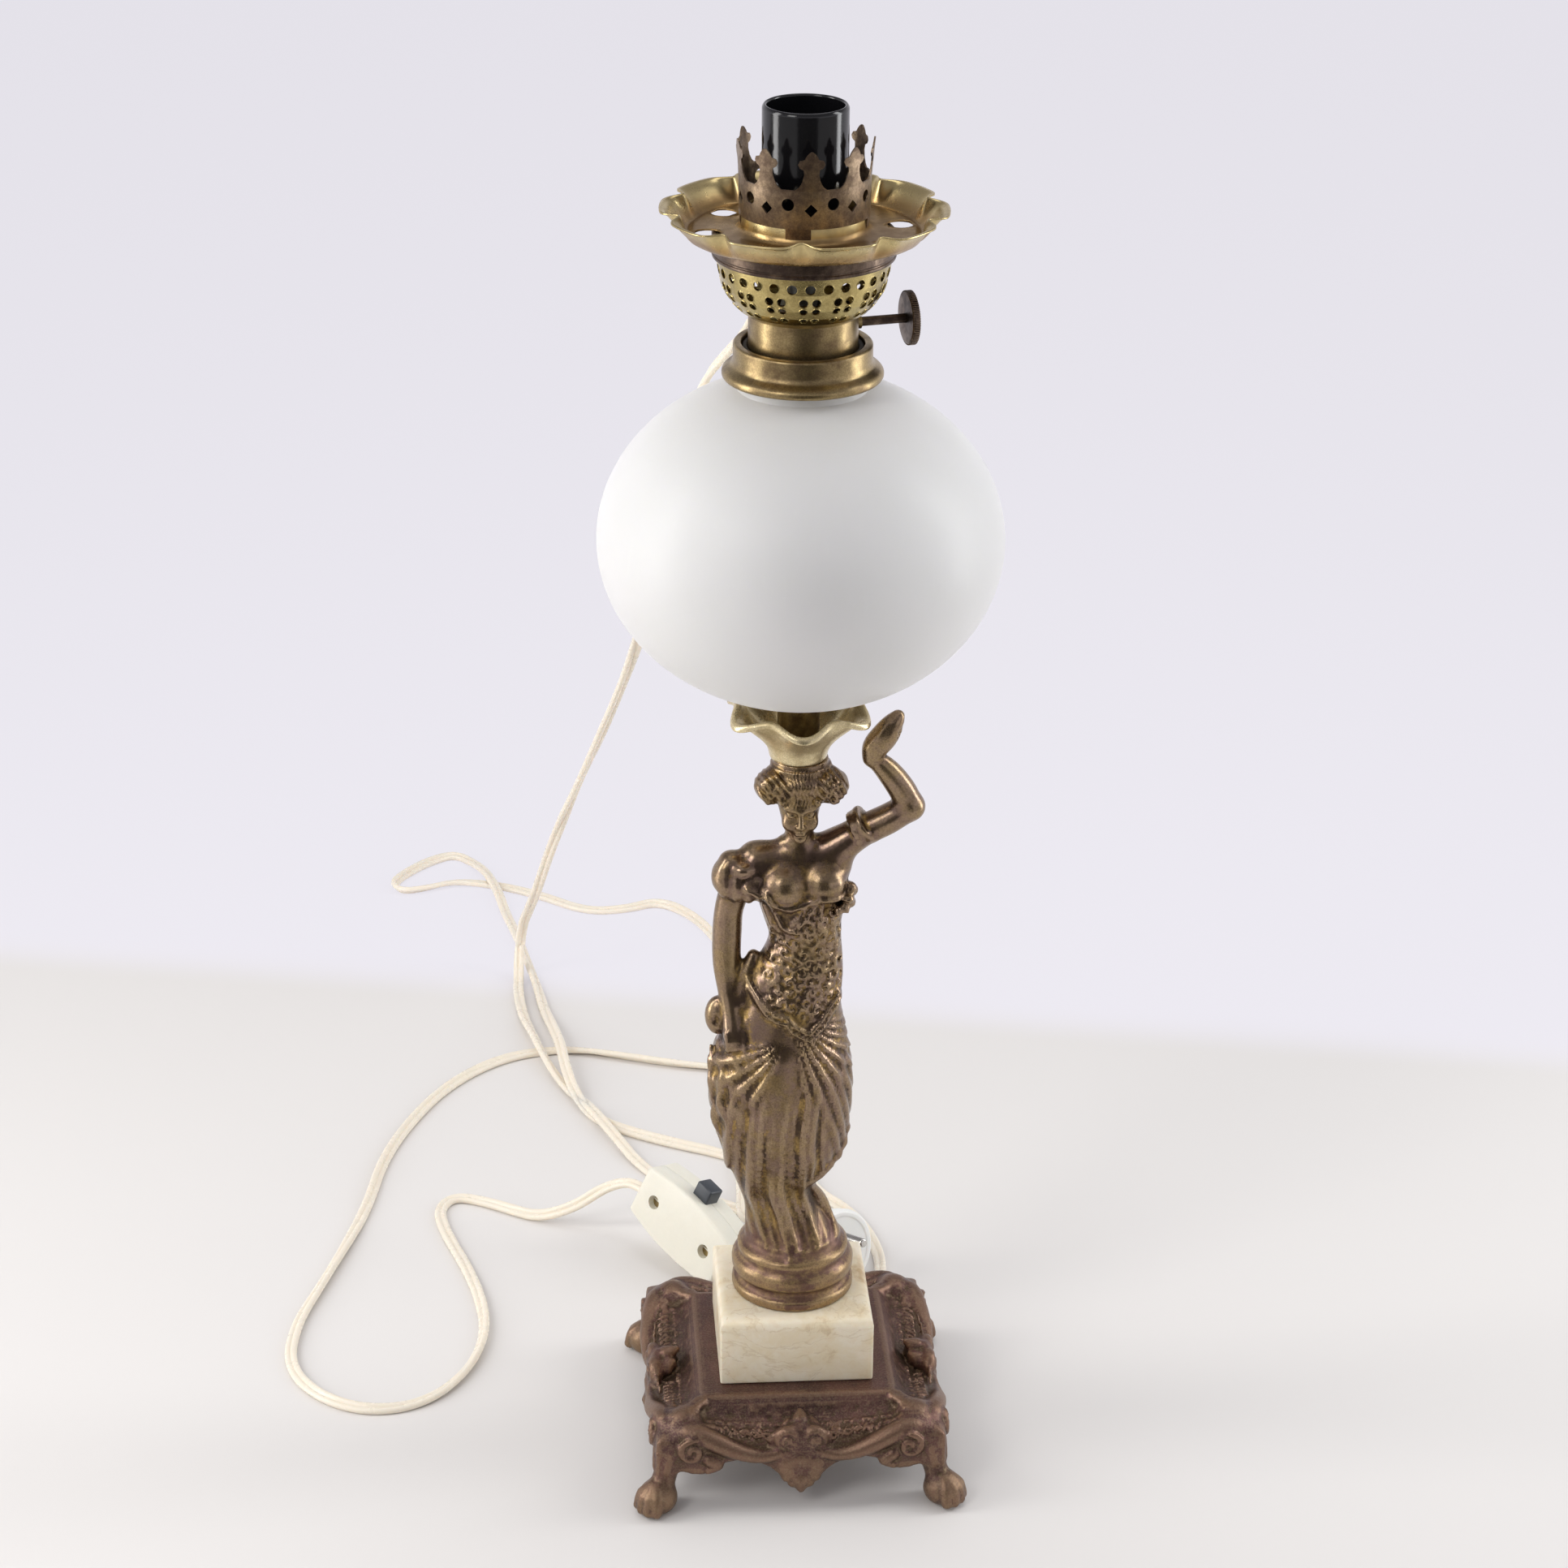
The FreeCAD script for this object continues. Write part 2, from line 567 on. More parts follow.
def font_collar():
    """Flanged collar with a floor that carries the burner and holds the tie tube upright."""
    profile = [(TUBE_DIAMETER / 2 + SEAT_GAP, COLLAR_LOW), (FLANGE_RADIUS - 1.0, COLLAR_LOW),
               (FLANGE_RADIUS, COLLAR_LOW + 1.0), (FLANGE_RADIUS, COLLAR_LOW + 2.6),
               (COLLAR_RADIUS + 1.0, COLLAR_LOW + FLANGE_HEIGHT), (COLLAR_RADIUS, COLLAR_LOW + FLANGE_HEIGHT + 1),
               (COLLAR_RADIUS, COLLAR_TOP - 0.8), (COLLAR_RADIUS - 0.8, COLLAR_TOP),
               (COLLAR_RADIUS - COLLAR_WALL, COLLAR_TOP), (COLLAR_RADIUS - COLLAR_WALL, COLLAR_LOW + 2.0),
               (TUBE_DIAMETER / 2 + SEAT_GAP, COLLAR_LOW + 2.0)]
    return turned(profile)


def collar_washer():
    outer = COLLAR_RADIUS - COLLAR_WALL - SEAT_GAP
    return ring(outer, NECK_RADIUS + SEAT_GAP, COLLAR_TOP - 1.2 - NECK_FOOT, NECK_FOOT)


NECK_FOOT = COLLAR_LOW + 2.0


def font_tube():
    low = HEAD_TOP - TUBE_GRIP
    high = HOLDER_LOW + HOLDER_FOOT_HEIGHT
    return ring(TUBE_DIAMETER / 2, TUBE_BORE / 2, high - low, low)


# ---------------------------------------------------------------- burner
def exit_axis():
    way = math.radians(EXIT_BEARING)
    return V(math.cos(way), math.sin(way), 0)


def burner_neck():
    neck = ring(NECK_RADIUS, NECK_RADIUS - SHEET, NECK_TOP - NECK_FOOT, NECK_FOOT)
    lead_hole = Part.makeCylinder(GROMMET_DIAMETER / 2 - 1.0 + SEAT_GAP, 10,
                                  exit_axis() * (NECK_RADIUS - 5) + V(0, 0, CORD_EXIT_Z), exit_axis())
    bush_hole = to_bearing(Part.makeCylinder(BUSH_DIAMETER / 2 + SEAT_GAP, 10, V(NECK_RADIUS - 5, 0, WINDER_Z), AXIS_X))
    return neck.cut(lead_hole).cut(bush_hole)


def cord_grommet():
    """Rubber bush in the neck's wall, with a flat outer face for the flex."""
    way = exit_axis()
    core = Part.makeCylinder(GROMMET_DIAMETER / 2 - 1.0, 3.0,
                             way * (GROMMET_FACE - 3.0) + V(0, 0, CORD_EXIT_Z), way)
    flange = Part.makeCylinder(GROMMET_DIAMETER / 2, GROMMET_FACE - NECK_RADIUS,
                               way * NECK_RADIUS + V(0, 0, CORD_EXIT_Z), way)
    return fused([core, flange.cut(cylinder(NECK_RADIUS, 40, CORD_EXIT_Z - 20))])


BASKET_PROFILE = [(BASKET_FOOT_RADIUS, NECK_TOP), (23.6, NECK_TOP + 2.2), (26.0, NECK_TOP + 5.0),
                  (28.3, NECK_TOP + 8.4), (29.5, NECK_TOP + 11.4), (30.4, NECK_TOP + 15.0),
                  (30.9, NECK_TOP + 18.0), (BASKET_RADIUS, BASKET_TOP)]
SMALL_ROWS = ((29.6, 12.0, 3.2, -14), (28.2, 8.4, 2.9, -32), (25.4, 4.3, 2.6, -44))


def burner_basket():
    inner_low = NECK_RADIUS - SHEET
    profile = [(inner_low, NECK_TOP)] + BASKET_PROFILE
    profile += [(r - SHEET, z + 0.3) for r, z in reversed(BASKET_PROFILE[1:-1])]
    profile.insert(len(BASKET_PROFILE) + 1, (BASKET_RADIUS - SHEET, BASKET_TOP))
    profile.append((inner_low, NECK_TOP + SHEET))
    bowl = turned(profile)
    cutters = []
    for i in range(BIG_HOLES):
        cutters.append(bar_at(30.7, 360.0 * i / BIG_HOLES, NECK_TOP + 17.2, BIG_HOLE, 6, -8))
    for radius, rise, hole, tilt in SMALL_ROWS:
        for i in range(SMALL_PAIRS):
            for side in (-1, 1):
                angle = 360.0 * i / SMALL_PAIRS + side * SMALL_HALF_ANGLE
                cutters.append(bar_at(radius, angle, NECK_TOP + rise, hole, 5, tilt))
    return bowl.cut(Part.makeCompound(cutters))


def gallery_band():
    return ring(BAND_RADIUS, BASKET_RADIUS, BAND_HEIGHT, BASKET_TOP - 0.4).fuse(
        ring(BAND_RADIUS, BASKET_RADIUS - 2.0, 0.8, BASKET_TOP)).removeSplitter()


BAND_TOP = BASKET_TOP - 0.4 + BAND_HEIGHT


def gallery_tray():
    """Pressed dish: hub, flat floor with draught holes, groove and flared lip, on a short skirt."""
    outer = [(TUBE_DIAMETER / 2 + SEAT_GAP, TRAY_FLOOR), (TRAY_NECK_RADIUS - 1, TRAY_FLOOR),
             (TRAY_NECK_RADIUS - 1, TRAY_FLOOR + TRAY_NECK_HEIGHT),
             (TRAY_NECK_RADIUS, TRAY_FLOOR + TRAY_NECK_HEIGHT),
             (TRAY_NECK_RADIUS + 0.4, TRAY_FLOOR + 2.0), (TRAY_NECK_RADIUS + 2.4, TRAY_FLOOR),
             (TRAY_FLAT_RADIUS, TRAY_FLOOR), (TRAY_FLAT_RADIUS + 1.5, TRAY_FLOOR - 1.0),
             (TRAY_FLAT_RADIUS + 4.0, TRAY_FLOOR), (TRAY_LIP_RADIUS - 6.0, TRAY_FLOOR + 3.6),
             (TRAY_LIP_RADIUS - 2.0, TRAY_LIP_Z - 1.8), (TRAY_LIP_RADIUS, TRAY_LIP_Z)]
    under = [(TRAY_LIP_RADIUS, TRAY_LIP_Z - THIN_SHEET), (TRAY_LIP_RADIUS - 1.6, TRAY_LIP_Z - 2.4 - THIN_SHEET),
             (TRAY_LIP_RADIUS - 5.4, TRAY_FLOOR + 3.0 - THIN_SHEET),
             (TRAY_FLAT_RADIUS + 3.4, TRAY_FLOOR - 2 * THIN_SHEET),
             (BAND_RADIUS + 1.0, BAND_TOP), (BASKET_RADIUS - 1.0, BAND_TOP),
             (BASKET_RADIUS - 1.0, TRAY_FLOOR - THIN_SHEET),
             (TUBE_DIAMETER / 2 + SEAT_GAP, TRAY_FLOOR - THIN_SHEET)]
    dish = turned(outer + under)
    pinch = face_of([V(0, -TRAY_LIP_RADIUS + PINCH_DEPTH, 0), V(PINCH_HALF, -TRAY_LIP_RADIUS - 1, 0),
                     V(-PINCH_HALF, -TRAY_LIP_RADIUS - 1, 0)]).extrude(V(0, 0, 30))
    pinch.translate(V(0, 0, TRAY_FLOOR))
    dish = dish.cut(Part.makeCompound(turned_copies(pinch, PINCHES, PINCH_TURN)))
    hole = cylinder(TRAY_HOLE / 2, 12, TRAY_FLOOR - 8, 0, -TRAY_HOLE_CIRCLE)
    lead = cylinder(3.0, 8, TRAY_FLOOR - 4, -4.4, 8.3)
    return dish.cut(Part.makeCompound(turned_copies(hole, TRAY_HOLES, TRAY_HOLE_TURN))).cut(lead)


def crown_gallery():
    """Pierced crown: nine pointed fleurons, a lozenge under each and a round hole between them."""
    low, top = CROWN_RADIUS, CROWN_RADIUS + CROWN_FLARE
    shell = turned([(low, CROWN_LOW), (low + 0.2, CROWN_VALLEY), (top, CROWN_TOP),
                    (top - THIN_SHEET, CROWN_TOP), (low + 0.2 - THIN_SHEET, CROWN_VALLEY),
                    (low - THIN_SHEET, CROWN_LOW)])
    half = math.pi * CROWN_RADIUS / CROWN_POINTS
    rise = CROWN_TOP - CROWN_VALLEY
    side = [(0.30, 0.02), (0.48, 0.10), (0.62, 0.24), (0.70, 0.42), (0.68, 0.54), (0.52, 0.59), (0.45, 0.68),
            (0.52, 0.77), (0.72, 0.80), (0.78, 0.87), (0.88, 0.95), (0.98, 1.0), (0.98, 1.2)]
    outline = [V(half * s, 0, CROWN_VALLEY + rise * t) for s, t in side]
    outline += [V(-p.x, 0, p.z) for p in reversed(outline)]
    notch = face_of(outline).extrude(V(0, -CROWN_RADIUS - 10, 0))
    step = 360.0 / CROWN_POINTS
    round_hole = bar_at(CROWN_RADIUS, 0, CROWN_VALLEY - CROWN_ROUND_DROP, CROWN_ROUND_HOLE, 8)
    d = CROWN_DIAMOND
    lozenge = face_of([V(0, 0, d), V(d, 0, 0), V(0, 0, -d), V(-d, 0, 0)]).extrude(
        V(0, -CROWN_RADIUS - 10, 0))
    lozenge.translate(V(0, 0, CROWN_VALLEY - CROWN_DIAMOND_DROP))
    cutters = turned_copies(notch, CROWN_POINTS, CROWN_TURN + step / 2)
    cutters += turned_copies(round_hole, CROWN_POINTS, CROWN_TURN + step / 2)
    cutters += turned_copies(lozenge, CROWN_POINTS, CROWN_TURN)
    crown = shell.cut(Part.makeCompound(cutters))
    skirt = turned([(TRAY_NECK_RADIUS + 0.6, TRAY_FLOOR + 2.2), (low, CROWN_LOW + 0.6), (low, CROWN_LOW + 1.0),
                    (low - THIN_SHEET, CROWN_LOW + 1.0), (low - THIN_SHEET, CROWN_LOW - 1.0),
                    (TRAY_NECK_RADIUS + 0.45, CROWN_LOW - 2.6), (TRAY_NECK_RADIUS + 0.5, TRAY_FLOOR + 2.2)])
    tab = Part.makeBox(TAB_WIDTH, 30, 20, V(-TAB_WIDTH / 2, -40, TRAY_FLOOR + 0.5))
    tabs = skirt.common(Part.makeCompound(turned_copies(tab, TAB_COUNT, TAB_TURN)))
    return fused([crown] + tabs.Solids)


# ---------------------------------------------------------------- lamp holder
HOLDER_LOW = TRAY_FLOOR


def holder_body():
    """Insulating body: a foot on the tie tube and a core with the socket's recess."""
    foot = ring(CORE_RADIUS, TUBE_DIAMETER / 2 + SEAT_GAP, HOLDER_FOOT_HEIGHT, HOLDER_LOW)
    core = cylinder(CORE_RADIUS, CORE_HEIGHT - HOLDER_FOOT_HEIGHT, HOLDER_LOW + HOLDER_FOOT_HEIGHT)
    recess = cylinder(SHELL_BORE / 2 + SHELL_WALL + SEAT_GAP, CORE_HEIGHT, SHELL_LOW)
    return fused([foot, core]).cut(recess)


SHELL_LOW = HOLDER_LOW + 11.0


def screw_shell():
    """Rolled brass shell; the E14 thread is drawn as rings of its pitch."""
    low, high = SHELL_BORE / 2 - THREAD_DEPTH, SHELL_BORE / 2
    inner, turns = [], int(SHELL_DEPTH / THREAD_PITCH)
    for i in range(turns):
        z = SHELL_LOW + 1.0 + i * THREAD_PITCH
        inner += [(high, z), (low, z + THREAD_PITCH / 2)]
    inner.append((high, SHELL_LOW + SHELL_DEPTH))
    outside = high + SHELL_WALL
    return turned([(outside, SHELL_LOW), (high, SHELL_LOW)] + inner + [(outside, SHELL_LOW + SHELL_DEPTH)])


def centre_contact():
    spring = Part.makeBox(CONTACT_WIDTH, 8.0, 0.6, V(-CONTACT_WIDTH / 2, -4.0, SHELL_LOW))
    button = Part.makeCylinder(1.8, 1.6, V(0, 0, SHELL_LOW + 0.6))
    return fused([spring, button])


def holder_sleeve():
    outer = SLEEVE_DIAMETER / 2
    inner = outer - SLEEVE_WALL
    low = HOLDER_LOW
    profile = [(CORE_RADIUS + SEAT_GAP, low), (outer - 0.6, low), (outer, low + 0.6), (outer, HOLDER_TOP - 0.8),
               (outer - 0.8, HOLDER_TOP), (inner, HOLDER_TOP), (inner, low + 1.5), (CORE_RADIUS + SEAT_GAP, low + 1.5)]
    return turned(profile)


def tube_nut():
    high = TRAY_FLOOR - THIN_SHEET
    return hexagon_nut(TUBE_NUT_FLATS, TUBE_NUT_HEIGHT, TUBE_DIAMETER + 2 * SEAT_GAP, high - TUBE_NUT_HEIGHT)


# ---------------------------------------------------------------- wick winder
def wick_bush():
    hub = Part.makeCylinder(BUSH_DIAMETER / 2, SHEET + 2 * BUSH_OUT, V(NECK_RADIUS - SHEET - BUSH_OUT, 0, WINDER_Z), AXIS_X)
    bore = Part.makeCylinder(SHAFT_DIAMETER / 2 + RUN_GAP, 20, V(NECK_RADIUS - 10, 0, WINDER_Z), AXIS_X)
    return hub.cut(bore)


def wick_shaft():
    return Part.makeCylinder(SHAFT_DIAMETER / 2, SHAFT_OUTER - SHAFT_INNER, V(SHAFT_INNER, 0, WINDER_Z), AXIS_X)


def toothed(radius, depth, teeth, thick, x):
    """A disc with pointed teeth, on the winder's axis."""
    corners = []
    for i in range(2 * teeth):
        angle = math.pi * i / teeth
        reach = radius if i % 2 == 0 else radius - depth
        corners.append(V(x, reach * math.cos(angle), WINDER_Z + reach * math.sin(angle)))
    return face_of(corners).extrude(V(thick, 0, 0))


def wick_wheel():
    wheel = toothed(WHEEL_DIAMETER / 2, 1.0, WHEEL_TEETH, WHEEL_THICK, SHAFT_INNER + 1.5)
    return wheel.cut(wick_shaft())


def wick_knob():
    rim = toothed(KNOB_DIAMETER / 2, 0.4, KNOB_TEETH, KNOB_THICK, SHAFT_OUTER - KNOB_THICK)
    for radius, depth in ((8.4, 0.7), (6.2, 0.5)):
        face = Part.makeCylinder(radius, depth, V(SHAFT_OUTER - depth, 0, WINDER_Z), AXIS_X)
        hub = Part.makeCylinder(radius - 1.3, depth, V(SHAFT_OUTER - depth, 0, WINDER_Z), AXIS_X)
        rim = rim.cut(face.cut(hub))
    return rim.cut(wick_shaft())


# ---------------------------------------------------------------- flex
GROMMET_MOUTH = exit_axis() * GROMMET_FACE + V(0, 0, CORD_EXIT_Z)
SWITCH_PLACE = FreeCAD.Placement(SWITCH_FACE, FreeCAD.Rotation(*SWITCH_TURN))
PLUG_TAIL_END = PLUG_FACE - PLUG_AIM * (PLUG_BODY_LENGTH + RELIEF_LENGTH)


def switch_point(x, y, z):
    return SWITCH_PLACE.multVec(V(x, y, z))


def switch_entry(side, out=0.0):
    """Point in line with the flex entry of the switch's left (-1) or right (+1) end."""
    return switch_point(side * (SWITCH_LENGTH / 2 + out), SWITCH_THICK / 2, -ENTRY_DROP)


LAMP_FLEX = [GROMMET_MOUTH, GROMMET_MOUTH + exit_axis() * 4.5, V(-16.2, 26.4, 464.2), V(-18.8, 31.0, 458.0),
             V(-24.6, 42.0, 446.5), V(-32.0, 55.0, 433.0), V(-37.0, 71.0, 411.0), V(-40.8, 92.0, 380.0),
             V(-46.0, 135.0, 330.5), V(-54.5, 196.0, 264.0), V(-66.5, 250.0, 206.0),
             V(-79.0, 299.0, 154.0), V(-91.0, 343.0, 103.0), V(-99.0, 375.0, 62.0), V(-103.0, 393.0, 42.5),
             V(-107.0, 404.5, 27.5), V(-109.0, 404.0, 12.4), on_floor(-109.6, 393.0), on_floor(-109.8, 377.5),
             on_floor(-107.6, 354.0), on_floor(-103.0, 331.0, 1), on_floor(-97.5, 306.0, 1),
             on_floor(-88.0, 281.0), on_floor(-76.5, 257.5, 1), on_floor(-66.0, 231.0, 1),
             on_floor(-54.0, 205.0), on_floor(-37.0, 184.0), on_floor(-17.0, 167.0), on_floor(-4.0, 160.0),
             on_floor(6.5, 168.0), on_floor(8.0, 185.0), on_floor(0.0, 202.0), on_floor(-16.0, 215.0),
             on_floor(-37.0, 224.5), on_floor(-57.0, 236.0), on_floor(-73.5, 249.0), on_floor(-83.0, 268.0, 1),
             on_floor(-87.5, 290.0, 2), on_floor(-89.5, 314.0, 2), on_floor(-93.0, 337.0, 1), on_floor(-97.0, 360.0),
             on_floor(-100.5, 386.0), on_floor(-105.5, 414.0), on_floor(-110.5, 443.0), on_floor(-116.0, 468.0),
             on_floor(-120.0, 489.0, 1), on_floor(-126.0, 512.0, 1), on_floor(-134.0, 531.0),
             on_floor(-144.0, 540.0), on_floor(-157.0, 531.0), on_floor(-168.0, 518.0), on_floor(-176.0, 505.0),
             on_floor(-171.0, 495.0), on_floor(-159.0, 498.0), on_floor(-143.0, 507.0), on_floor(-121.0, 502.0),
             on_floor(-97.0, 487.5), on_floor(-74.0, 468.0), on_floor(-53.0, 469.0), on_floor(-35.0, 477.5),
             on_floor(-18.0, 459.0), on_floor(-7.0, 432.0), on_floor(2.0, 398.0), on_floor(10.0, 358.0),
             on_floor(16.0, 315.0), on_floor(20.0, 270.0), on_floor(20.5, 230.0), on_floor(19.5, 200.0),
             on_floor(24.5, 177.0), on_floor(37.5, 161.0), on_floor(46.0, 140.0), on_floor(49.0, 116.0),
             on_floor(44.0, 94.0), on_floor(29.0, 79.0), on_floor(9.0, 77.0), switch_entry(1, 14.0),
             switch_entry(1)]

PLUG_FLEX = [switch_entry(-1), switch_entry(-1, 9.0), V(-71.0, 155.5, 23.0), V(-86.0, 157.0, 11.0),
             on_floor(-104.0, 163.5), on_floor(-125.0, 178.0), on_floor(-140.0, 184.0), on_floor(-147.0, 172.0),
             on_floor(-143.0, 152.0), on_floor(-134.0, 125.0), on_floor(-127.0, 96.0), on_floor(-125.0, 68.0),
             on_floor(-132.0, 42.0), on_floor(-148.0, 21.0), on_floor(-172.0, 14.5), on_floor(-194.0, 26.0),
             on_floor(-208.0, 50.0), on_floor(-206.0, 82.0), on_floor(-197.0, 110.0), on_floor(-187.0, 144.0),
             on_floor(-178.0, 180.0), on_floor(-173.0, 216.0), on_floor(-161.0, 253.0), on_floor(-143.0, 288.0),
             on_floor(-116.0, 313.5), on_floor(-86.0, 320.0), on_floor(-58.0, 309.0), on_floor(-33.0, 300.0),
             on_floor(-11.0, 296.0), on_floor(1.0, 282.0), on_floor(1.0, 262.0), on_floor(-4.0, 243.0, 0.2),
             on_floor(-7.0, 223.0, 1.05), on_floor(-8.0, 201.0, 1.05), on_floor(-9.0, 186.0, 0.7),
             on_floor(-9.5, 174.0, 1.05), on_floor(-10.6, 161.0, 1.05), PLUG_TAIL_END - PLUG_AIM * 10.0,
             PLUG_TAIL_END]


def flex(points, name):
    """A round flex on straight runs joined by tangent arcs; prints its tightest arc."""
    edges, start, tightest, limit = [], points[0], 1e9, ""
    for before, corner, after in zip(points, points[1:], points[2:]):
        came, goes = corner - before, after - corner
        half_turn = came.getAngle(goes) / 2
        cut = 0.45 * min(came.Length, goes.Length)
        radius = cut / math.tan(half_turn)
        if radius < tightest:
            tightest, limit = radius, "at %.0f, %.0f, %.0f" % (corner.x, corner.y, corner.z)
        entry = corner - came.normalize() * cut
        leave = corner + goes.normalize() * cut
        inward = (entry + leave) * 0.5 - corner
        depth = radius * (1 / math.cos(half_turn) - 1)
        middle = corner + inward.normalize() * depth
        edges.append(Part.LineSegment(start, entry).toShape())
        edges.append(Part.Arc(entry, middle, leave).toShape())
        start = leave
    edges.append(Part.LineSegment(start, points[-1]).toShape())
    path = Part.Wire(edges)
    first = edges[0]
    along = first.tangentAt(first.FirstParameter)
    section = Part.Wire(Part.Circle(points[0], along, CORD_DIAMETER / 2).toShape())
    tube = path.makePipeShell([section], True, False, 0)
    area = math.pi * CORD_DIAMETER ** 2 / 4
    print("%s: length %.0f, tightest arc %.1f %s, volume / (section x length) %.4f"
          % (name, path.Length, tightest, limit, tube.Volume / (area * path.Length)))
    return tube


def feed_lead():
    """The flex inside the burner, from the grommet up through the tray to the holder's foot."""
    inner = exit_axis() * (GROMMET_FACE - 3.0) + V(0, 0, CORD_EXIT_Z)
    points = [inner, inner - exit_axis() * 3.0, V(-6.6, 11.6, 471.5), V(-4.6, 8.7, 481.0),
              V(-4.4, 8.3, TRAY_FLOOR - 0.3)]
    pieces = []
    for low, high in zip(points, points[1:]):
        pieces.append(Part.makeCylinder(1.5, (high - low).Length, low, high - low))
        pieces.append(Part.makeSphere(1.5, low if low is not points[0] else high))
    return fused(pieces).common(Part.makeBox(60, 60, TRAY_FLOOR - 0.3 - 440, V(-30, -30, 440)))


# ---------------------------------------------------------------- switch
def switch_outline(inset):
    """Lens-shaped outline in the switch's own X-Z plane, at its front face."""
    end, mid, half = SWITCH_END_WIDTH / 2 - inset, SWITCH_MID_WIDTH / 2 - inset, SWITCH_LENGTH / 2 - inset
    top = Part.Arc(V(-half, 0, end), V(0, 0, mid), V(half, 0, end)).toShape()
    low = Part.Arc(V(half, 0, -end), V(0, 0, -mid), V(-half, 0, -end)).toShape()
    right = Part.LineSegment(V(half, 0, end), V(half, 0, -end)).toShape()
    left = Part.LineSegment(V(-half, 0, -end), V(-half, 0, end)).toShape()
    return Part.Face(Part.Wire([top, right, low, left]))


def switch_cavity():
    room = switch_outline(SWITCH_WALL).extrude(V(0, SWITCH_THICK - 2 * SWITCH_WALL, 0))
    room.translate(V(0, SWITCH_WALL, 0))
    for side in (-1, 1):
        post = Part.makeCylinder(SWITCH_SCREW_HEAD / 2 + 1.0, SWITCH_THICK,
                                 V(side * SWITCH_SCREW_PITCH / 2, 0, 0), AXIS_Y)
        room = room.cut(post)
    return room


def switch_half(front):
    thick = SWITCH_THICK / 2
    half = switch_outline(0.0).extrude(V(0, thick, 0))
    if not front:
        half.translate(V(0, thick, 0))
    half = half.cut(switch_cavity())
    slot = Part.makeBox(BUTTON_LENGTH + 2 * SLIDE_GAP, BUTTON_WIDTH + 2 * SLIDE_GAP, 12,
                        V(-BUTTON_LENGTH / 2 - SLIDE_GAP, thick - BUTTON_WIDTH / 2 - SLIDE_GAP,
                          SWITCH_MID_WIDTH / 2 - 8))
    half = half.cut(slot)
    for side in (-1, 1):
        hole = Part.makeCylinder(SWITCH_SCREW / 2 + SEAT_GAP, SWITCH_THICK - 3.0,
                                 V(side * SWITCH_SCREW_PITCH / 2, 0, 0), AXIS_Y)
        head = Part.makeCylinder(SWITCH_SCREW_HEAD / 2 + SEAT_GAP, SCREW_RECESS + 2.0,
                                 V(side * SWITCH_SCREW_PITCH / 2, 0, 0), AXIS_Y)
        half = half.cut(hole).cut(head)
    return half


def switch_screws():
    screws = []
    for side in (-1, 1):
        x = side * SWITCH_SCREW_PITCH / 2
        head = Part.makeCylinder(SWITCH_SCREW_HEAD / 2, 2.0, V(x, SCREW_RECESS, 0), AXIS_Y)
        shank = Part.makeCylinder(SWITCH_SCREW / 2, SWITCH_THICK - 3.0 - SCREW_RECESS - 1.0,
                                  V(x, SCREW_RECESS + 1.0, 0), AXIS_Y)
        slot = Part.makeBox(SWITCH_SCREW_HEAD, 0.7, 0.8, V(x - SWITCH_SCREW_HEAD / 2, SCREW_RECESS, -0.4))
        screws.append(fused([head, shank]).cut(slot))
    return Part.makeCompound(screws)


def switch_button():
    """Push button: a cap that stands out of the case and a wider stem that the case holds in."""
    inner_top = SWITCH_MID_WIDTH / 2 - SWITCH_WALL
    top = SWITCH_MID_WIDTH / 2 + BUTTON_PROUD - 1.2
    low_y = SWITCH_THICK / 2 - BUTTON_WIDTH / 2
    cap = Part.makeBox(BUTTON_LENGTH, BUTTON_WIDTH, top - inner_top + 2,
                       V(-BUTTON_LENGTH / 2, low_y, inner_top - 2))
    cap = cap.makeFillet(0.8, [e for e in cap.Edges if e.BoundBox.ZMin > top - 0.1])
    stem = Part.makeBox(BUTTON_LENGTH + 3, BUTTON_WIDTH, 2.0,
                        V(-BUTTON_LENGTH / 2 - 1.5, low_y, inner_top - 2.0 - 3 * SLIDE_GAP))
    return fused([cap, stem])


def switch_terminals():
    """Two clamp blocks on the case's floor, below the button's stem."""
    blocks = []
    for side in (-1, 1):
        blocks.append(Part.makeBox(8.0, 6.0, 6.0, V(side * 6.5 - 4.0, SWITCH_THICK - SWITCH_WALL - 6.0, -8.0)))
    return Part.makeCompound(blocks)


def placed_switch(shape):
    shape.Placement = SWITCH_PLACE.multiply(shape.Placement)
    return shape


# ---------------------------------------------------------------- plug
def plug_place():
    turn = FreeCAD.Rotation(AXIS_Z, PLUG_AIM)
    side = turn.multVec(AXIS_X)
    across = PLUG_AIM.cross(AXIS_Z).normalize()
    angle = math.degrees(side.getAngle(across))
    if side.cross(across).dot(PLUG_AIM) < 0:
        angle = -angle
    level = FreeCAD.Rotation(AXIS_Z, angle + PIN_TURN)
    return FreeCAD.Placement(PLUG_FACE, turn.multiply(level))


def placed_plug(shape):
    shape.Placement = plug_place().multiply(shape.Placement)
    return shape


def plug_body():
    """Round two-pin plug; its own axis is Z, the pins' face is at zero."""
    rim = PLUG_DIAMETER / 2
    profile = [(0, 0), (rim - 1.0, 0), (rim, -1.0), (rim, -2.5), (rim - 1.3, -9.0), (rim - 6.0, -19.0),
               (PLUG_TAIL_RADIUS + 2.0, -PLUG_BODY_LENGTH + 5.0), (PLUG_TAIL_RADIUS, -PLUG_BODY_LENGTH),
               (0, -PLUG_BODY_LENGTH)]
    body = turned(profile)
    for pin in pin_shapes(SEAT_GAP):
        body = body.cut(pin)
    return body


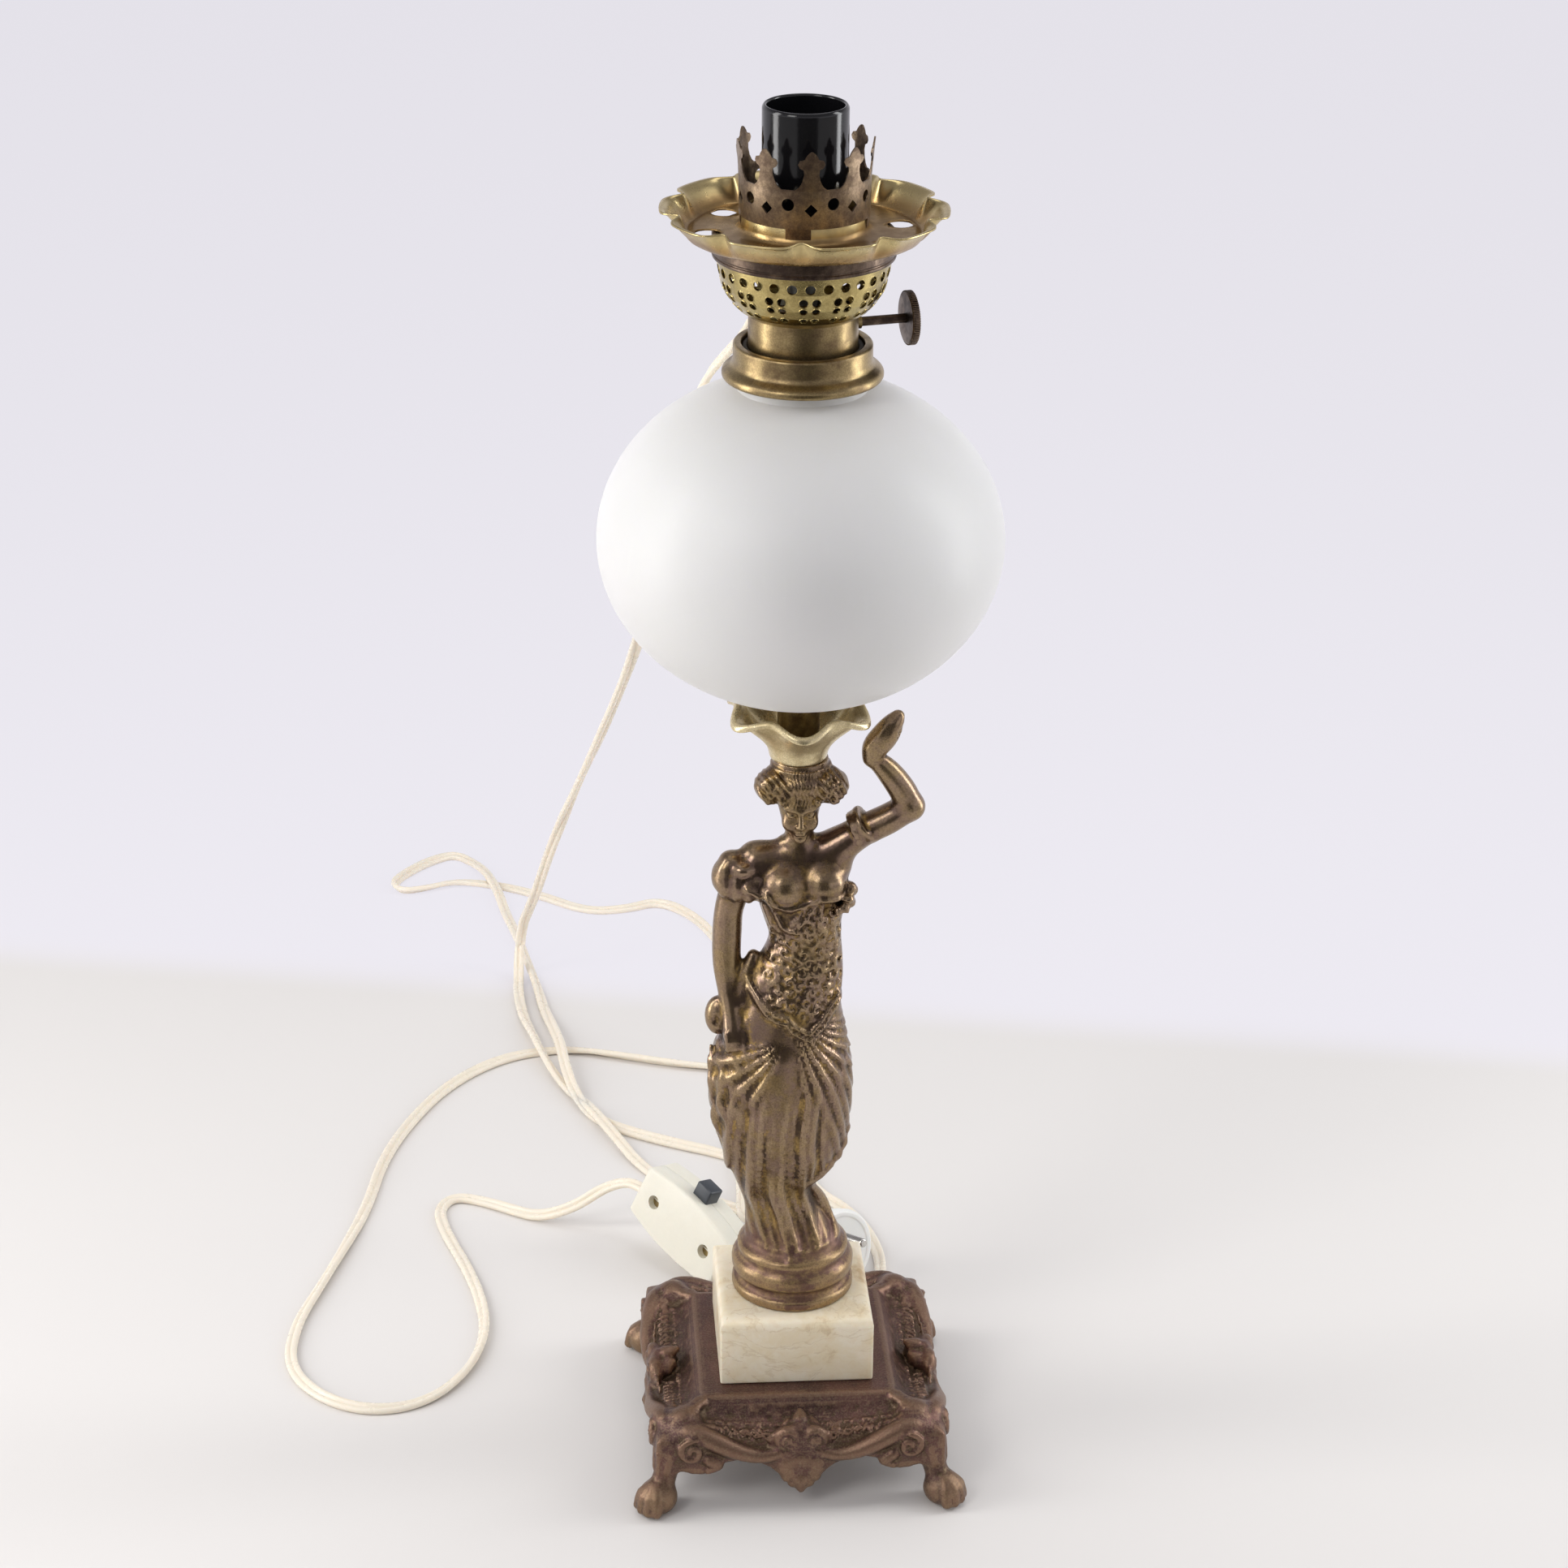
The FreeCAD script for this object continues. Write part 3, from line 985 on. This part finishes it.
def pin_shapes(gap):
    pins = []
    for side in (-1, 1):
        y = side * PIN_SPACING / 2
        root = Part.makeCylinder(PIN_ROOT_DIAMETER / 2 + gap, PIN_ROOT_DEPTH + PIN_ROOT_PROUD, V(0, y, -PIN_ROOT_DEPTH))
        pin = Part.makeCylinder(PIN_DIAMETER / 2, PIN_LENGTH + PIN_ROOT_DEPTH, V(0, y, -PIN_ROOT_DEPTH))
        tip = [e for e in pin.Edges if e.BoundBox.ZMin > PIN_LENGTH - 0.1 and e.Closed]
        pins.append(fused([root, pin.makeFillet(0.8, tip[:1])]))
    return pins


def plug_pins():
    return Part.makeCompound(pin_shapes(0.0))


def plug_relief():
    return Part.makeCone(RELIEF_RADIUS, PLUG_TAIL_RADIUS - 0.8, RELIEF_LENGTH,
                         V(0, 0, -PLUG_BODY_LENGTH - RELIEF_LENGTH))


# ---------------------------------------------------------------- all pieces
def pieces():
    switch = {"switch_case_front": switch_half(True), "switch_case_back": switch_half(False),
              "switch_screws": switch_screws(), "switch_button": switch_button(),
              "switch_terminals": switch_terminals()}
    plug = {"plug_body": plug_body(), "plug_pins": plug_pins(), "plug_relief": plug_relief()}
    made = {"cast_base": cast_base(), "base_washer": base_washer(), "base_nut": base_nut(),
            "base_stud": base_stud(), "marble_block": marble_block(), "figure": figure(),
            "tulip_cup": tulip_cup(), "globe_seat": globe_seat(), "lower_gasket": lower_gasket(), "glass_globe": glass_globe(),
            "upper_gasket": upper_gasket(), "font_collar": font_collar(), "collar_washer": collar_washer(),
            "font_tube": font_tube(), "burner_neck": burner_neck(), "cord_grommet": cord_grommet(),
            "burner_basket": burner_basket(), "gallery_band": gallery_band(), "gallery_tray": gallery_tray(),
            "crown_gallery": crown_gallery(), "tube_nut": tube_nut(), "holder_body": holder_body(),
            "screw_shell": screw_shell(), "centre_contact": centre_contact(), "holder_sleeve": holder_sleeve(),
            "wick_bush": to_bearing(wick_bush()), "wick_shaft": to_bearing(wick_shaft()),
            "wick_wheel": to_bearing(wick_wheel()),
            "wick_knob": to_bearing(wick_knob()), "feed_lead": feed_lead(),
            "lamp_flex": flex(LAMP_FLEX, "lamp_flex"), "plug_flex": flex(PLUG_FLEX, "plug_flex")}
    made.update({name: placed_switch(shape) for name, shape in switch.items()})
    made.update({name: placed_plug(shape) for name, shape in plug.items()})
    return made


def main():
    os.makedirs("parts", exist_ok=True)
    for name, shape in pieces().items():
        box = shape.optimalBoundingBox()
        print("%-18s solids %2d valid %s volume %9.1f  z %.2f to %.2f"
              % (name, len(shape.Solids), shape.isValid(), shape.Volume, box.ZMin, box.ZMax))
        shape.exportStep("parts/%s.step" % name)


main()
